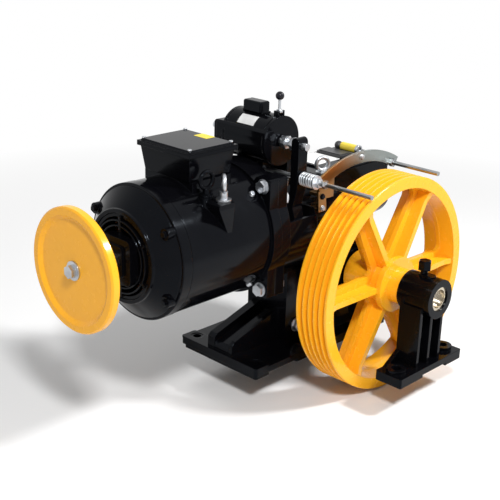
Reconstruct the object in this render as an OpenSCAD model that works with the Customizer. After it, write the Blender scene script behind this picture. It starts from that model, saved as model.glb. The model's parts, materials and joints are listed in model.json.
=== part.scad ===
// Geared elevator traction machine: worm gearbox, flanged motor with handwheel,
// drum brake, grooved traction sheave and its outboard pedestal.
// X runs along the motor, Y along the sheave shaft, Z up.
// The origin is the middle of the four foundation bolts, on the plane of the feet.

/* [Frame] */
// Distance of the foundation bolts along the motor
feet_pitch_x = 500; // [480:1:520]
// Distance of the foundation bolts across the motor
feet_pitch_y = 227; // [220:1:240]
// Diameter of the foundation bolt holes
foot_bolt_d = 22; // [16:1:24]
// Height of the sheave axis above the feet
sheave_z = 214; // [206:1:222]
// Distance of the sheave axis from the middle of the feet
sheave_x = 100; // [92:1:108]
// Distance between the worm axis and the sheave axis
centre_distance = 172; // [170:1:178]

/* [Sheave] */
// Outer diameter of the traction sheave
sheave_d = 590; // [560:1:600]
// Width of the sheave rim
sheave_w = 100; // [96:1:104]
// Distance of the rim's front face from the motor axis
sheave_front = 293; // [290:1:296]
// Number of rope grooves
groove_count = 5; // [3:1:5]
// Distance between two rope grooves
groove_pitch = 18; // [15:1:19]
// Diameter of the ropes
rope_d = 13; // [10:1:13]
// Thickness of the rim at its edges
rim_t = 31; // [28:1:36]
// Number of spokes
spoke_count = 6; // [5:1:6]
// Width of a spoke at the hub
spoke_w = 62; // [50:1:66]
// Thickness of the spoke's flat web
spoke_web = 14; // [10:1:20]
// Thickness of the rib along the spoke
spoke_rib = 16; // [12:1:20]
// Diameter of the hub
hub_d = 124; // [112:1:130]

/* [Shafts] */
// Diameter of the sheave shaft in its sheave
sheave_shaft_d = 66; // [60:1:70]
// Diameter of the sheave shaft in its main bearings
sheave_bearing_d = 70; // [66:1:74]
// Diameter of the sheave shaft in the outer bush
journal_d = 50; // [44:1:54]
// Diameter of the motor shaft in its bearings
motor_shaft_d = 48; // [42:1:54]
// Diameter of the worm shaft in its bearings
worm_shaft_d = 50; // [44:1:54]
// Clearance of a running fit, on the radius
running_gap = 0.05; // [0.03:0.01:0.08]

/* [Worm gear] */
// Number of teeth of the worm wheel
wheel_teeth = 43; // [41:1:45]
// Pitch diameter of the worm
worm_pitch_d = 72; // [66:1:76]
// Face width of the worm wheel
wheel_w = 44; // [36:1:50]

/* [Gearbox] */
// Outer radius of the wheel case
case_r = 160; // [157:1:164]
// Outer radius of the worm case
worm_case_r = 92; // [88:1:96]
// Thickness of the bed plate
bed_t = 30; // [26:1:32]
// Thickness of the two flanges between motor and gearbox
flange_t = 32; // [28:1:34]
// Outer radius of the bell round the brake
bell_r = 166; // [163:1:170]
// Height of the flange rims above bell and motor
flange_lip = 7; // [4:1:9]
// Wall of the bell round the brake drum
bell_wall = 9; // [7:1:11]

/* [Motor] */
// Outer diameter of the stator housing
motor_d = 332; // [328:1:336]
// Wall of the stator housing
motor_wall = 10; // [8:1:14]
// Length of the stator housing up to its flange
motor_len = 262; // [250:1:270]
// Length of the domed end shield
shield_len = 74; // [70:1:80]
// Height of the rolled rim round the shield's throat
rim_h = 4; // [2:0.5:6]
// Angle of the shield's four lugs above and below the horizontal
screw_tilt = 33; // [30:1:45]
// Diameter of the handwheel
handwheel_d = 296; // [280:1:310]
// Thickness of the handwheel rim
handwheel_t = 23; // [18:1:26]
// Depth of the recess in the handwheel's face
wheel_recess = 8; // [5:0.5:10]
// Distance of the handwheel's front from the end shield
handwheel_reach = 144; // [138:1:150]

/* [Brake] */
// Diameter of the brake drum
drum_d = 210; // [200:1:214]
// Width of the brake drum
drum_w = 70; // [60:1:76]
// Gap between lining and drum, for the model's free turning
shoe_gap = 1; // [0.9:0.1:1.4]
// Thickness of the brake lining
lining_t = 8; // [6:1:9]
// Height of the brake magnet above the motor axis
magnet_rise = 219; // [216:1:222]
// Diameter of the brake magnet
magnet_d = 128; // [120:1:132]
// Length of the brake magnet
magnet_len = 154; // [150:1:158]
// Outer diameter of the brake spring
spring_d = 36; // [32:1:38]
// Wire diameter of the brake spring
spring_wire = 5.5; // [4:0.5:6]

/* [Pedestal] */
// Distance of the pedestal's bolts
pedestal_pitch = 210; // [200:1:220]
// Diameter of the pedestal's bolt holes
pedestal_bolt_d = 26; // [20:1:28]
// Outer radius of the pedestal's barrel
barrel_r = 53; // [50:1:56]
// Length of the pedestal's barrel
barrel_len = 100; // [90:1:104]
// Outer diameter of the bronze bush
bush_d = 66; // [62:1:70]

/* [Hidden] */
$fn = 64;
eps = 0.01;

// Axes and stations along the motor
motor_z = sheave_z + centre_distance;
foot_edge_x = 32;
foot_edge_y = 30.5;
foot_x = feet_pitch_x / 2 + foot_edge_x;
foot_y = feet_pitch_y / 2 + foot_edge_y;
pad_z = bed_t + 5;
foot_drop = 13;
bell_x0 = -234;
bell_x1 = -92;
case_x0 = sheave_x - 195;
case_x1 = sheave_x + 210;
flange_x0 = bell_x0 - flange_t + 2;
seam_x = flange_x0 - motor_len;
shield_x = seam_x - shield_len;
wheel_front_x = shield_x - handwheel_reach;
bell_open_z = motor_z + 35;
motor_r = motor_d / 2;
// The joint of motor and bell follows the larger of the two
joint_r = max(motor_r, bell_r);
flange_r = joint_r + flange_lip;
lug_bolt_y = joint_r - 34;
lug_bolt_z = joint_r - 31;
throat_r = motor_r - 62;
screw_r = motor_r - 14;
screw_angles = [screw_tilt, 180 - screw_tilt, 180 + screw_tilt, -screw_tilt];
bore_r = motor_r - 70;
core_len = 160;
core_x0 = seam_x + 46;
core_x1 = core_x0 + core_len;
winding_len = 28;
box_len = 157;
box_y = 93;
box_x0 = seam_x + 53;
box_x1 = box_x0 + box_len;

// Sheave line
sheave_r = sheave_d / 2;
sheave_back = sheave_front - sheave_w;
hub_back = 158;
cover_y = 112;
bearing_w = 24;
bearing_od = 125;
worm_bearing_od = 110;
worm_bearing_w = 30;
pedestal_back = sheave_front + 37;
barrel_front = pedestal_back + barrel_len;
bush_len = 88;

// Worm gear
pitch_r = centre_distance - worm_pitch_d / 2;
module_mm = 2 * pitch_r / wheel_teeth;
worm_lead = PI * module_mm;
worm_len = 110;
cavity_r = pitch_r + 12;

// Brake
drum_x = -144;
drum_r = drum_d / 2;
arm_w = 34;
arm_in = 126;
arm_out = 150;
arm_top = motor_z + 240;
pivot_y = 58;
pivot_drop = 128;
pin_d = 16;
magnet_z = motor_z + magnet_rise;
magnet_r = magnet_d / 2;
rod_z = motor_z + 137;
rod_d = 12;
spring_y0 = arm_out + 0.2;
spring_len = 46;
lever_y = -62;

module along_x(x, y = 0, z = motor_z) translate([x, y, z]) rotate([0, 90, 0]) children();
module along_y(y, x = sheave_x, z = sheave_z) translate([x, y, z]) rotate([-90, 0, 0]) children();
module xcyl(x0, x1, r, y = 0, z = motor_z) along_x(x0, y, z) cylinder(r = r, h = x1 - x0);
module ycyl(y0, y1, r, x = sheave_x, z = sheave_z) along_y(y0, x, z) cylinder(r = r, h = y1 - y0);
module box(x0, x1, y0, y1, z0, z1) translate([x0, y0, z0]) cube([x1 - x0, y1 - y0, z1 - z0]);
module rounded(w, h, r) offset(r) square([w - 2 * r, h - 2 * r], center = true);
module corners(y, z) for (sy = [-1, 1], sz = [-1, 1]) translate([0, sy * y, sz * z]) children();

// Hex head bolt along +Z: head below z = 0, optional washer, shank above
module hex_bolt(d, shank, washer = 0) {
    head = 0.65 * d;
    translate([0, 0, -washer - head]) cylinder(r = 0.98 * d, h = head, $fn = 6);
    if (washer > 0) translate([0, 0, -washer]) cylinder(r = 1.15 * d, h = washer, $fn = 32);
    if (shank > 0) cylinder(r = d / 2, h = shank);
}

module hex_nut(d, h, bore = true) {
    difference() {
        cylinder(r = 0.98 * d, h = h, $fn = 6);
        if (bore) translate([0, 0, -1]) cylinder(r = d / 2, h = h + 2);
    }
}

// ---------- Gearbox ----------

// Round flange with four square ears, drawn across the motor axis
module eared_disc(r) {
    circle(r, $fn = 96);
    for (a = [0, 1], b = [0, 1]) mirror([a, 0]) mirror([0, b])
        offset(4) offset(-4)
            polygon([[lug_bolt_z + 20, lug_bolt_y + 23], [lug_bolt_z + 20, lug_bolt_y - 25],
                [70, 50], [50, 70], [lug_bolt_z - 70, lug_bolt_y + 23]]);
}

module foot_holes(d, z) {
    for (sx = [-1, 1], sy = [-1, 1])
        translate([sx * feet_pitch_x / 2, sy * feet_pitch_y / 2, z]) cylinder(d = d, h = 60);
}

module bed() {
    translate([0, 0, foot_drop]) linear_extrude(bed_t - foot_drop)
        rounded(2 * foot_x, 2 * foot_y, 10);
    for (s = [-1, 1]) {
        translate([s * (foot_x - 26), 0, bed_t - 1]) linear_extrude(pad_z - bed_t + 1)
            rounded(52, 2 * foot_y, 8);
        translate([s * (foot_x - 34), 0, 0]) linear_extrude(foot_drop + 1)
            rounded(54, 2 * foot_y - 14, 6);
    }
    translate([(foot_x - 122) / 2, 0, 0]) linear_extrude(foot_drop + 1)
        rounded(foot_x + 108, 2 * foot_y - 14, 6);
}

// Sloping leg with a pocket between its two ribs, from the foot up to the case
module leg() {
    front = 8 - foot_x;
    rise = 53 / 175;
    top_z = pad_z + 40;
    for (side = [[22, 47, 0], [-44, -32, -4], [-44, 47, -20]])
        translate([0, side[1], side[2]]) rotate([90, 0, 0]) linear_extrude(side[1] - side[0])
            offset(7) offset(-7) polygon([[front, pad_z - 20], [front + 3, top_z - 8], [front + 12, top_z],
                [case_x0 + 12, top_z + rise * (case_x0 - front)], [case_x0 + 12, pad_z - 20]]);
}

module wheel_case() {
    ycyl(-65, 65, case_r, $fn = 96);
    ycyl(-cover_y, cover_y, cover_y - 0.5, $fn = 96);
    translate([0, 72, 0]) rotate([90, 0, 0]) linear_extrude(144)
        polygon([[case_x0, bed_t - 1], [case_x0, motor_z - 60], [sheave_x - 40, motor_z - 40],
            [sheave_x + 60, motor_z - 60], [sheave_x + case_r - 22, sheave_z],
            [sheave_x + case_r + 4, bed_t - 1]]);
    // Ribs under the bearing seats
    for (s = [-1, 1]) hull() {
        box(sheave_x - 9, sheave_x + 9, s * 92 - 6, s * 92 + 6, sheave_z - 90, sheave_z - 80);
        box(sheave_x - 60, sheave_x + 60, s * 92 - 9, s * 92 + 9, bed_t - 1, bed_t + 4);
    }
}

module worm_case() {
    xcyl(case_x0 + 2, case_x1 - 80, worm_case_r, $fn = 96);
    xcyl(case_x1 - 81, case_x1, worm_case_r - 6, $fn = 96);
    // Flat-topped upper case that carries the covers
    translate([sheave_x + 62, 0, motor_z + 40]) linear_extrude(60) rounded(296, 172, 14);
    // Pad for the rope guard's first leg
    box(sheave_x - 167, sheave_x - 123, -102, -60, motor_z + 20, motor_z + 42);
}

module bell() {
    xcyl(bell_x0 + flange_t - 4, case_x0 + 2, bell_r, $fn = 96);
    along_x(bell_x0) linear_extrude(flange_t) eared_disc(flange_r);
    // Neck from the bell to the worm case
    intersection() {
        along_x(case_x0 + 1) cylinder(r1 = bell_r - 1, r2 = worm_case_r + 4, h = 24, $fn = 96);
        box(case_x0, case_x1, -200, 200, 0, motor_z + 50);
    }
}

module bell_inside() {
    inner = bell_r - bell_wall;
    xcyl(bell_x0 + flange_t, bell_x1, inner, $fn = 96);
    box(bell_x0 + flange_t, bell_x1, -200, 200, bell_open_z, motor_z + 200);
    xcyl(bell_x0 - 1, bell_x0 + flange_t + 1, 120);
}

// Lugs inside the bell that hold the brake arms' pins
module pin_lugs() {
    for (s = [-1, 1], x = [drum_x - 46, drum_x + 28]) hull() {
        xcyl(x, x + 18, 15, s * pivot_y, motor_z - pivot_drop, $fn = 32);
        box(x, x + 18, s * pivot_y - 16, s * pivot_y + 16,
            motor_z - bell_r + 14, motor_z - bell_r + 20);
    }
}

module gearbox_housing() color([0.06, 0.06, 0.07]) {
    difference() {
        union() {
            bed();
            leg();
            wheel_case();
            worm_case();
            difference() {
                bell();
                bell_inside();
            }
            pin_lugs();
        }
        foot_holes(foot_bolt_d, -1);
        foot_holes(1.55 * foot_bolt_d, pad_z - 1.5);
        // Room for the worm wheel and its bearings
        ycyl(-wheel_w / 2 - 8, wheel_w / 2 + 8, cavity_r, $fn = 96);
        ycyl(-85, 85, 54);
        for (y = [-cover_y - 1, cover_y - 28]) ycyl(y, y + 29, bearing_od / 2);
        // Room for the worm and its bearings
        xcyl(case_x0 + 50, case_x1 - 40, 50);
        xcyl(case_x0 - 6, case_x0 + 51, worm_shaft_d / 2 + 4);
        xcyl(case_x0 + 17, case_x0 + 51, worm_bearing_od / 2);
        xcyl(case_x1 - 41, case_x1 + 1, worm_bearing_od / 2);
        // Bores for the arm pins and the drain
        for (s = [-1, 1]) xcyl(drum_x - 48, drum_x + 48, pin_d / 2, s * pivot_y, motor_z - pivot_drop);
        ycyl(-80, -50, 10, sheave_x - 150, 70);
        for (y = [-1, 1], z = [-1, 1])
            xcyl(bell_x0 - 1, bell_x0 + flange_t + 1, 8, y * lug_bolt_y, motor_z + z * lug_bolt_z);
    }
}

module bearing_cover(open) {
    difference() {
        union() {
            cylinder(r = 104, h = 12);
            cylinder(r1 = 72, r2 = 64, h = open ? 36 : 30);
        }
        if (open) translate([0, 0, -1]) cylinder(r = sheave_shaft_d / 2 + 4, h = 60);
        else translate([0, 0, -1]) cylinder(r = sheave_bearing_d / 2 + 8, h = 22);
    }
}

module front_bearing_cover() color([0.06, 0.06, 0.07])
    translate([sheave_x, -cover_y, sheave_z]) rotate([90, 0, 0]) bearing_cover(true);

module rear_bearing_cover() color([0.06, 0.06, 0.07]) along_y(cover_y) bearing_cover(false);

module worm_end_cap() color([0.06, 0.06, 0.07]) difference() {
    along_x(case_x1) {
        cylinder(r = worm_case_r - 7, h = 14);
        cylinder(r1 = 60, r2 = 52, h = 30);
    }
    xcyl(case_x1 - 1, case_x1 + 20, worm_shaft_d / 2 + 6);
}

cover_z = motor_z + 100;
cover_t = 5;
plate_x0 = sheave_x + 74;
filler_x = plate_x0 + 66;
filler_r = 12;
module top_cover() color([0.07, 0.07, 0.08])
    translate([sheave_x + 86, 0, cover_z]) linear_extrude(cover_t) rounded(242, 166, 12);

module terminal_cover() color([0.12, 0.12, 0.13]) translate([plate_x0 + 26, 31, cover_z + cover_t]) {
    linear_extrude(7) rounded(52, 90, 5);
    translate([0, 0, 7]) linear_extrude(3) rounded(44, 80, 5);
}

// Elbow on the top cover, with the filler lying on its side towards the sheave
module oil_elbow() color([0.1, 0.1, 0.1]) translate([filler_x, 48, cover_z + cover_t]) {
    cylinder(r = filler_r, h = 6);
    cylinder(r = 9, h = 17);
    translate([0, 0, 17]) sphere(filler_r, $fn = 32);
    translate([0, -10, 17]) rotate([90, 0, 0]) cylinder(r = 7, h = 8);
}

module oil_filler() color([0.9, 0.75, 0.1]) difference() {
    ycyl(-20, 34, filler_r, filler_x, cover_z + cover_t + 17);
    ycyl(30, 49, 7 + eps, filler_x, cover_z + cover_t + 17);
}

module filler_ring() color([0.75, 0.76, 0.75]) difference() {
    ycyl(-28, -20, filler_r + 1, filler_x, cover_z + cover_t + 17);
    ycyl(-29, -25, filler_r - 4, filler_x, cover_z + cover_t + 17);
}

module drain_plug() color([0.5, 0.5, 0.5])
    translate([sheave_x - 150, -72, 70]) rotate([-90, 0, 0]) hex_bolt(18, 20, 2);

module case_bolts() color([0.72, 0.73, 0.72]) {
    lid_screws();
    for (i = [0:5]) {
        a = 60 * i + 30;
        translate([sheave_x + 89 * cos(a), -cover_y - 12, sheave_z + 89 * sin(a)])
            rotate([-90, 0, 0]) hex_bolt(10, 0);
        translate([sheave_x + 89 * cos(a), cover_y + 12, sheave_z + 89 * sin(a)])
            rotate([90, 0, 0]) hex_bolt(10, 0);
    }
    for (i = [0:3]) {
        a = 90 * i + 45;
        translate([case_x1 + 14, 72 * cos(a), motor_z + 72 * sin(a)])
            rotate([0, -90, 0]) hex_bolt(10, 0);
    }
}

// Ball bearing as one ring with recessed faces
module bearing(bore, od, w) {
    rotate_extrude($fn = 64) difference() {
        translate([bore / 2 + running_gap, 0]) square([(od - bore) / 2 - running_gap, w]);
        for (z = [-1, w - 3]) translate([bore / 2 + (od - bore) * 0.15, z])
            square([(od - bore) * 0.2, 4]);
    }
}

module sheave_bearings() color([0.7, 0.71, 0.72])
    for (y = [-cover_y + 4, cover_y - 28]) along_y(y) bearing(sheave_bearing_d, bearing_od, bearing_w);

module worm_bearings() color([0.7, 0.71, 0.72])
    for (x = [case_x0 + 18, case_x1 - worm_bearing_w - 2])
        along_x(x) bearing(worm_shaft_d, worm_bearing_od, worm_bearing_w);

// ---------- Sheave line ----------

// Half profile of the grooved rim, from its front face
module rim_profile() {
    groove_top = rope_d / 2 + 0.5;
    groove_deep = 1.2 * rope_d;
    difference() {
        polygon([[sheave_r - rim_t, 0], [sheave_r - 1.5, 0], [sheave_r, 1.5],
            [sheave_r, sheave_w - 1.5], [sheave_r - 1.5, sheave_w], [sheave_r - rim_t, sheave_w],
            [sheave_r - rim_t - 6, sheave_w / 2]]);
        for (i = [0:groove_count - 1]) {
            mid = sheave_w / 2 + (i - (groove_count - 1) / 2) * groove_pitch;
            polygon([[sheave_r + 1, mid - groove_top - 0.4], [sheave_r + 1, mid + groove_top + 0.4],
                [sheave_r - groove_deep, mid + 2.2], [sheave_r - groove_deep, mid - 2.2]]);
        }
    }
}

// Flat webs of the spokes with filleted roots
module spoke_webs() {
    reach = sheave_r - rim_t - 4;
    difference() {
        circle(reach, $fn = 96);
        for (i = [0:spoke_count - 1]) rotate(360 / spoke_count * (i + 0.5))
            offset(14, $fn = 32) offset(-14) intersection() {
                difference() {
                    circle(reach - 2, $fn = 96);
                    circle(hub_d / 2 + 12, $fn = 96);
                }
                half = 180 / spoke_count;
                polygon([[0, 0], 2 * reach * [cos(half), sin(half)],
                    2 * reach * [cos(half), -sin(half)]]);
                translate([spoke_w / 2 / sin(half), 0])
                    polygon([[0, 0], 2 * reach * [cos(half + 2), sin(half + 2)],
                        2 * reach * [cos(half + 2), -sin(half + 2)]]);
            }
    }
}

module sheave() color([0.93, 0.55, 0.06]) difference() {
    sheave_casting();
    sheave_key();
}

module sheave_casting() translate([sheave_x, -sheave_front, sheave_z])
    rotate([-90, 0, 0]) difference() {
        union() {
            rotate_extrude($fn = 128) rim_profile();
            translate([0, 0, sheave_w / 2 - spoke_web / 2]) linear_extrude(spoke_web) spoke_webs();
            for (i = [0:spoke_count - 1]) rotate(360 / spoke_count * i)
                rotate([90, 0, 0]) translate([0, 0, -spoke_rib / 2]) linear_extrude(spoke_rib)
                    polygon([[hub_d / 2 - 8, 4], [hub_d / 2 + 16, 8], [sheave_r - rim_t - 26, 12],
                        [sheave_r - rim_t + 2, 4], [sheave_r - rim_t + 2, sheave_w - 4],
                        [sheave_r - rim_t - 26, sheave_w - 12], [hub_d / 2 + 16, sheave_w - 8],
                        [hub_d / 2 - 8, sheave_w - 2]]);
            cylinder(d = hub_d, h = sheave_front - hub_back);
            cylinder(r = hub_d / 2 + 14, h = 16);
            translate([0, 0, -36]) cylinder(r = 48, h = 40);
        }
        translate([0, 0, -40]) cylinder(d = sheave_shaft_d, h = 200);
    }

module sheave_shaft() color([0.66, 0.66, 0.66]) difference() {
    union() {
        ycyl(-barrel_front + 20, -pedestal_back + 1, journal_d / 2);
        ycyl(-pedestal_back + 0.5, -cover_y - 8, sheave_shaft_d / 2);
        ycyl(-cover_y - 8.5, cover_y + 10, sheave_bearing_d / 2);
    }
    sheave_key();
    wheel_key();
}

// Keys of the sheave and of the worm wheel
module sheave_key() {
    key_r = sheave_shaft_d / 2;
    box(sheave_x - 9, sheave_x + 9, -sheave_front + 20, -sheave_back - 10,
        sheave_z + key_r - 6, sheave_z + key_r + 5);
}
module wheel_key() {
    key_r = sheave_bearing_d / 2;
    box(sheave_x - 10, sheave_x + 10, -wheel_w / 2 - 10, wheel_w / 2 + 10,
        sheave_z + key_r - 6, sheave_z + key_r + 5);
}
module shaft_keys() color([0.5, 0.5, 0.5]) {
    sheave_key();
    wheel_key();
}

module worm_wheel_hub() color([0.3, 0.3, 0.32]) difference() {
    wheel_casting();
    wheel_key();
}

module wheel_casting() along_y(-wheel_w / 2) difference() {
    union() {
        cylinder(r = pitch_r - 26, h = wheel_w, $fn = 96);
        translate([0, 0, -24]) cylinder(r = 52, h = wheel_w + 48);
    }
    translate([0, 0, -30]) cylinder(d = sheave_bearing_d, h = wheel_w + 60);
    for (i = [0:5]) rotate(60 * i + 30) translate([78, 0, -1]) cylinder(r = 13, h = wheel_w + 2);
}

// Bronze rim; each tooth is turned by the lead angle of the worm
module worm_wheel_rim() color([0.72, 0.5, 0.2]) along_y(0) {
    root_r = pitch_r - 1.25 * module_mm;
    tip_r = pitch_r + 0.75 * module_mm;
    lead_angle = atan(worm_lead / (PI * worm_pitch_d));
    difference() {
        translate([0, 0, -wheel_w / 2]) cylinder(r = root_r, h = wheel_w, $fn = 96);
        translate([0, 0, -wheel_w / 2 - 1]) cylinder(r = pitch_r - 26, h = wheel_w + 2, $fn = 96);
    }
    for (i = [0:wheel_teeth - 1]) rotate(360 / wheel_teeth * i - 90) rotate([-lead_angle, 0, 0])
        translate([0, 0, -wheel_w / 2 + 1]) linear_extrude(wheel_w - 2)
            polygon([[root_r - 1.5, -5], [tip_r, -1.1], [tip_r, 1.1], [root_r - 1.5, 5]]);
}

// ---------- Worm and motor line ----------

module worm_shaft() color([0.66, 0.66, 0.66]) {
    worm_r = worm_pitch_d / 2;
    throw = 1.1 * module_mm;
    xcyl(drum_x - 2, sheave_x - worm_len / 2 + 1, worm_shaft_d / 2);
    xcyl(sheave_x + worm_len / 2 - 1, case_x1 + 4, worm_shaft_d / 2);
    turns = worm_len / worm_lead;
    along_x(sheave_x - worm_len / 2) linear_extrude(worm_len, twist = -360 * turns,
        slices = 12 * turns, segments = 16, convexity = 6) rotate(180 - 180 * turns) translate([throw, 0])
            circle(worm_r - 1, $fn = 16);
}

module motor_housing() color([0.05, 0.05, 0.06]) {
    difference() {
        union() {
            xcyl(seam_x, flange_x0 + 1, motor_r, $fn = 96);
            along_x(flange_x0) linear_extrude(bell_x0 - flange_x0) eared_disc(flange_r + 1);
            xcyl(bell_x0 - 1, bell_x0 + 6, 119.5);
            // Saddle under the terminal box
            box(box_x0 + 18, box_x1 - 14, 8 - box_y, box_y - 8, motor_z + motor_r - 46, box_z0);
            // Lifting lug on the near side
            lug();
        }
        xcyl(seam_x - 1, flange_x0 + 2, motor_r - motor_wall, $fn = 96);
        xcyl(flange_x0, bell_x0 + 8, 50);
        box(box_x0 + 26, box_x1 - 22, 16 - box_y, box_y - 16, motor_z + motor_r - 47, box_z0 + 1);
        for (y = [-1, 1], z = [-1, 1])
            xcyl(flange_x0 - 1, bell_x0 + 1, 8, y * lug_bolt_y, motor_z + z * lug_bolt_z);
    }
}

lug_top = motor_z + motor_r - 36;
// Gusseted lug that carries the eyebolt, and the pad of the lifting ring
module lug() {
    intersection() {
        translate([0, -96, 0]) rotate([90, 0, 0]) linear_extrude(70)
            polygon([[-445, lug_top], [-395, lug_top], [-392, lug_top - 96], [-396, lug_top - 98],
                [-445, lug_top - 10]]);
        translate([-450, 0, 0]) rotate([90, 0, 90]) linear_extrude(70)
            polygon([[-90, lug_top + 1], [-motor_r, lug_top + 1], [-motor_r, lug_top - 12],
                [14 - motor_r, lug_top - 110], [-90, lug_top - 110]]);
    }
    translate([-432, -108, lug_top - 20]) cylinder(r = 18, h = 28);
}

// Domed shield over the motor's free end
module motor_end_shield() color([0.05, 0.05, 0.06]) along_x(seam_x) {
    difference() {
        union() {
            // A band at the seam, a step down to the cone, and a rolled rim round the throat
            rotate_extrude($fn = 96) polygon([[motor_r - 0.5, 0], [motor_r + 1.5, -2],
                [motor_r + 1.5, -28], [motor_r, -30], [motor_r - 5, -30], [motor_r - 6, -33],
                [throat_r + 12, -shield_len + 3], [throat_r + 11, -shield_len - rim_h + 2],
                [throat_r + 9, -shield_len - rim_h], [throat_r + 2, -shield_len - rim_h],
                [throat_r, -shield_len - rim_h + 2], [throat_r, -shield_len + 8],
                [motor_r - motor_wall - 8, -34], [motor_r - motor_wall - 4, 0]]);
            for (a = screw_angles) rotate(a + 90) translate([screw_r, 0, -52])
                cylinder(r = 14, h = 30, $fn = 32);
        }
    }
}

// Ring, cross and hub that close the shield and hold the end bearing
module end_grille() color([0.05, 0.05, 0.06]) along_x(shield_x) {
    rotate_extrude($fn = 96) polygon([[throat_r, 0], [throat_r, 8],
        [throat_r - 8, 8], [throat_r - 8, 0]]);
    for (r = [throat_r - 18, throat_r - 31]) rotate_extrude($fn = 96)
        polygon([[r, -4], [r + 1, -6], [r + 4, -6], [r + 5, -4], [r + 5, 6], [r, 6]]);
    difference() {
        union() {
            for (a = [0:60:300]) rotate(a) translate([40, -4, -5]) cube([throat_r - 44, 8, 12]);
            translate([0, 0, -5]) cylinder(r = 56, h = 50);
            translate([0, -8, -24]) linear_extrude(30) rounded(112, 104, 14);
            translate([0, 0, -30]) linear_extrude(40) rounded(76, 76, 12);
        }
        translate([0, 0, -40]) cylinder(r = motor_shaft_d / 2, h = 60);
        translate([0, 0, 14]) cylinder(r = 45, h = 40);
    }
}

module stator_core() color([0.45, 0.46, 0.48]) xring(core_x0, core_x1, bore_r + 0.5, motor_r - motor_wall);

module xring(x0, x1, r0, r1) difference() {
    xcyl(x0, x1, r1, $fn = 96);
    xcyl(x0 - 1, x1 + 1, r0, $fn = 96);
}

module stator_windings() color([0.6, 0.3, 0.12]) {
    for (x = [core_x0 - winding_len, core_x1]) xring(x, x + winding_len, bore_r + 6, motor_r - 26);
}

module rotor() color([0.5, 0.51, 0.53]) difference() {
    union() {
        xcyl(core_x0, core_x1, bore_r - 0.5, $fn = 96);
        xcyl(core_x0 - 14, core_x1 + 14, bore_r - 10);
    }
    xcyl(core_x0 - 15, core_x1 + 15, 30);
}

module motor_shaft() color([0.66, 0.66, 0.66]) {
    xcyl(wheel_front_x + wheel_recess, shield_x - 40, 19);
    xcyl(shield_x - 41, -560, motor_shaft_d / 2 - 2);
    xcyl(-561, core_x0 - 20, motor_shaft_d / 2);
    xcyl(core_x0 - 21, core_x1 + 20, 30);
    xcyl(core_x1 + 19, drum_x - 6, motor_shaft_d / 2);
}

module motor_bearings() color([0.7, 0.71, 0.72]) {
    along_x(shield_x + 16) bearing(motor_shaft_d, 90, 24);
    along_x(flange_x0 + 4) bearing(motor_shaft_d, 100, 24);
}

module handwheel() color([0.93, 0.55, 0.06]) along_x(wheel_front_x) difference() {
    r = handwheel_d / 2;
    t = handwheel_t;
    d = wheel_recess;
    web = d + 8;
    rotate_extrude($fn = 128) polygon([[0, d], [r - 30, d], [r - 28, d - 0.6], [r - 20.6, 1.6],
        [r - 18.6, 0], [r - 4, 0], [r, 4], [r, t - 3], [r - 3, t], [r - 18, t], [r - 32, web],
        [40, web], [34, 44], [0, 44]]);
    translate([0, 0, -1]) cylinder(r = 19, h = 60);
}

module handwheel_bolt() color([0.75, 0.76, 0.75]) along_x(wheel_front_x + wheel_recess) {
    translate([0, 0, -4]) cylinder(r = 23, h = 4);
    translate([0, 0, -17]) cylinder(r = 16, h = 13, $fn = 6);
}

module flange_bolts() color([0.75, 0.76, 0.75]) {
    translate([flange_x0, 0, motor_z]) corners(lug_bolt_y, lug_bolt_z) rotate([0, 90, 0]) {
        hex_bolt(16, 2 * flange_t + 2, 3);
        translate([0, 0, bell_x0 + flange_t - flange_x0]) hex_nut(16, 12);
    }
    for (a = [45:90:315]) along_x(flange_x0 - 26) rotate(a) translate([motor_r + 0.2, 0, 0])
        rotate([0, 90, 0]) cylinder(r1 = 8, r2 = 6, h = 6);
}

module shield_screws() color([0.06, 0.06, 0.07]) for (a = screw_angles)
    translate([seam_x - 52, screw_r * cos(a), motor_z + screw_r * sin(a)])
        rotate([0, 90, 0]) hex_bolt(8, 0, 1.5);

// ---------- Terminal box ----------

box_z0 = motor_z + motor_r + 4;
box_z1 = box_z0 + 69;
module tapered(x0, x1, y, z0, z1, draft) hull() {
    box(x0, x1, -y, y, z1 - 1, z1);
    box(x0 + draft, x1 - draft, -y + draft, y - draft, z0, z0 + 1);
}

module terminal_box() color([0.05, 0.05, 0.06]) difference() {
    union() {
        tapered(box_x0 + 5, box_x1 - 5, box_y - 5, box_z0, box_z1, 9);
        box(box_x0, box_x1, -box_y, box_y, box_z1 - 9, box_z1);
    }
    difference() {
        tapered(box_x0 + 10, box_x1 - 10, box_y - 10, box_z0 + 5, box_z1 + 1, 8);
        for (x = [box_x0 + 11, box_x1 - 11], y = [-1, 1])
            translate([x, y * (box_y - 11), box_z0]) cylinder(r = 12, h = 80);
    }
    box(box_x0 + 33, box_x1 - 34, -60, 60, box_z0 - 1, box_z0 + 6);
}

module terminal_box_lid() color([0.05, 0.05, 0.06]) {
    box(box_x0, box_x1, -box_y, box_y, box_z1, box_z1 + 3);
    tapered_lid();
}

module tapered_lid() hull() {
    box(box_x0 + 6, box_x1 - 6, 6 - box_y, box_y - 6, box_z1 + 2, box_z1 + 3);
    box(box_x0 + 9, box_x1 - 9, 9 - box_y, box_y - 9, box_z1 + 3, box_z1 + 8);
}

module lid_screws() for (x = [box_x0 + 12, box_x1 - 12], y = [-1, 1])
    translate([x, y * (box_y - 12), box_z1 + 8]) cylinder(r = 5, h = 3, $fn = 24);

module lifting_ring() color([0.05, 0.05, 0.06]) translate([-432, -108, lug_top + 8]) {
    cylinder(r = 16, h = 6);
    cylinder(r = 9, h = 20);
    translate([0, 0, 40]) rotate([90, 0, 0]) rotate_extrude($fn = 48)
        translate([20, 0]) circle(5, $fn = 24);
}

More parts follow.
